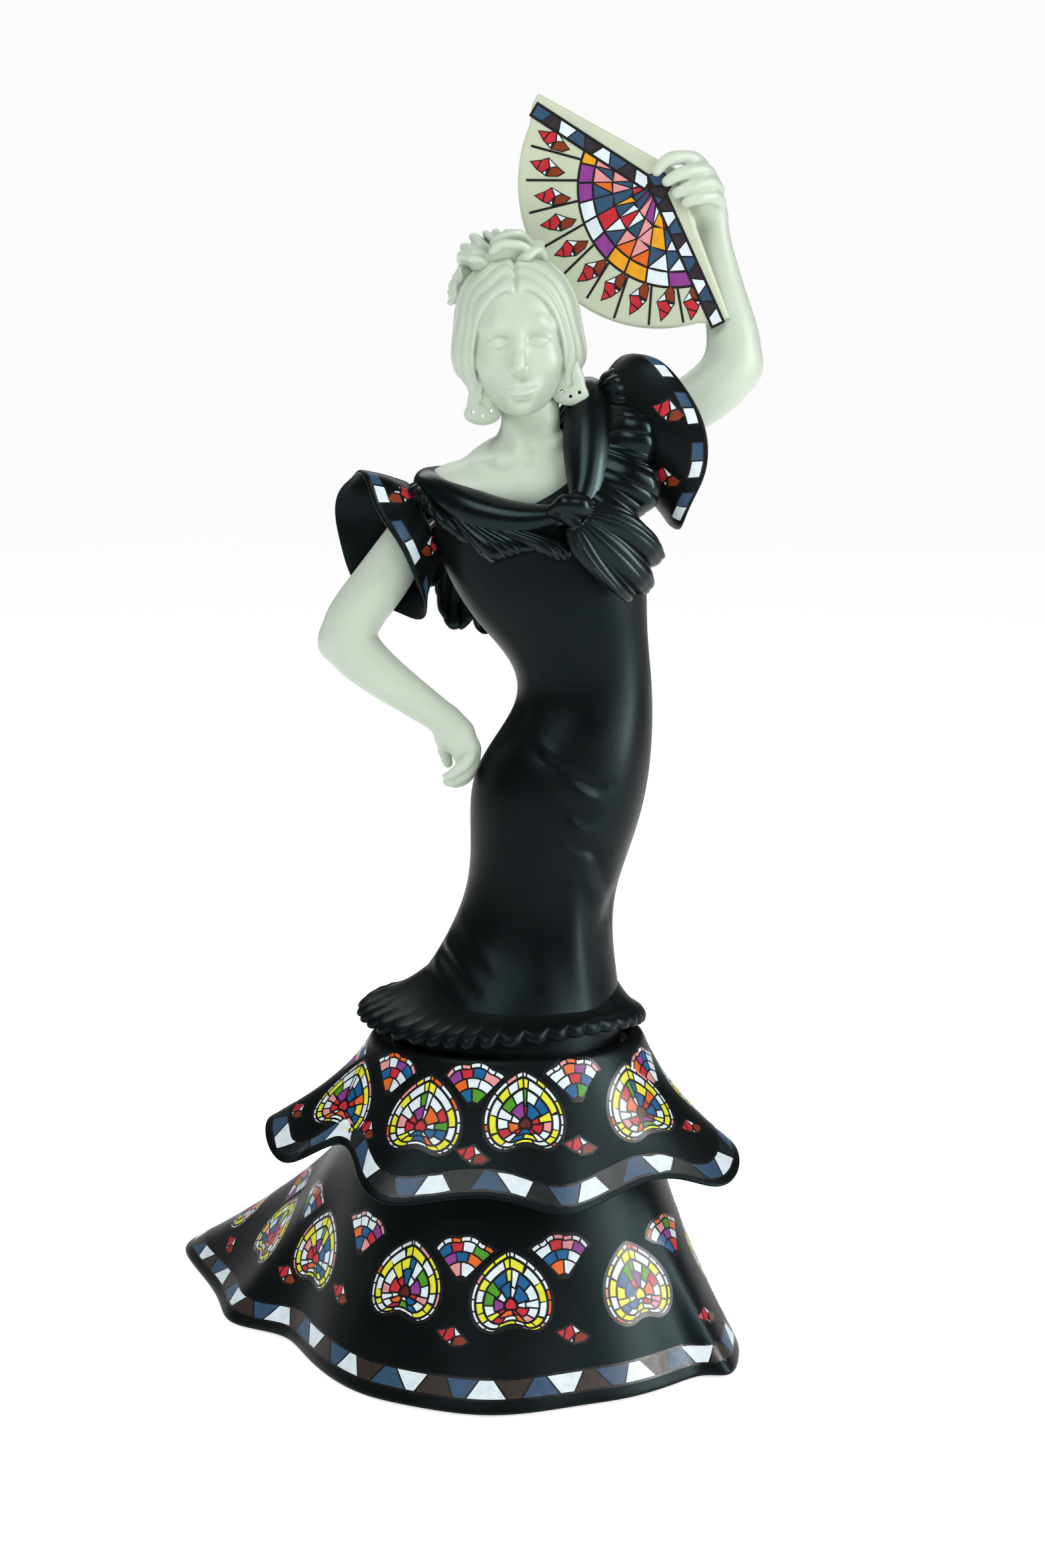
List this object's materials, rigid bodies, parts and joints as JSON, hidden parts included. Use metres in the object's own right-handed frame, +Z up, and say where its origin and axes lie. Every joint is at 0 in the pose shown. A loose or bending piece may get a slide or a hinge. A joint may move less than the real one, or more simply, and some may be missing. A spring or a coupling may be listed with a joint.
{
  "type": "souvenir figurine",
  "caption": "Standing dancer figurine in a tiered, flared dress, one hand on the hip and the other holding an open fan above the head, on a flat base.",
  "frame": {"origin": "on the table, in the middle of the felt pad's underside area, under the figurine's head", "axes": "+Z up along the figurine's height, +X towards the raised arm, -Y towards the front"},
  "size_m": [0.1488, 0.1283, 0.2996],
  "materials": {
    "black_dress": "black paint with a satin sheen over cast resin, with bright printed transfers",
    "cream_bisque": "fine matt ivory resin, slightly translucent",
    "base_resin": "matt black",
    "dowel_steel": "plain steel wire",
    "felt": "dark green felt"
  },
  "bodies": {
    "root": {"lower_flounce": "black_dress", "upper_flounce": "black_dress", "knee_frill": "black_dress", "dress_body": "black_dress", "hip_sleeve": "black_dress", "raised_sleeve": "black_dress", "collar_band": "black_dress", "collar_ruffle_front": "black_dress", "collar_ruffle_side": "black_dress", "collar_ruffle_back": "black_dress", "collar_knot": "black_dress", "collar_tail": "black_dress", "bust": "cream_bisque", "head": "cream_bisque", "hair_bun": "cream_bisque", "rose_heart": "cream_bisque", "rose_petals": "cream_bisque", "side_flower": "cream_bisque", "hip_earring": "cream_bisque", "raised_earring": "cream_bisque", "hip_arm": "cream_bisque", "raised_arm": "cream_bisque", "fan": "cream_bisque", "raised_shoulder_dowel": "dowel_steel", "hip_shoulder_dowel": "dowel_steel", "neck_dowel": "dowel_steel", "base_plate": "base_resin", "felt_pad": "felt"}
  },
  "joints": []
}
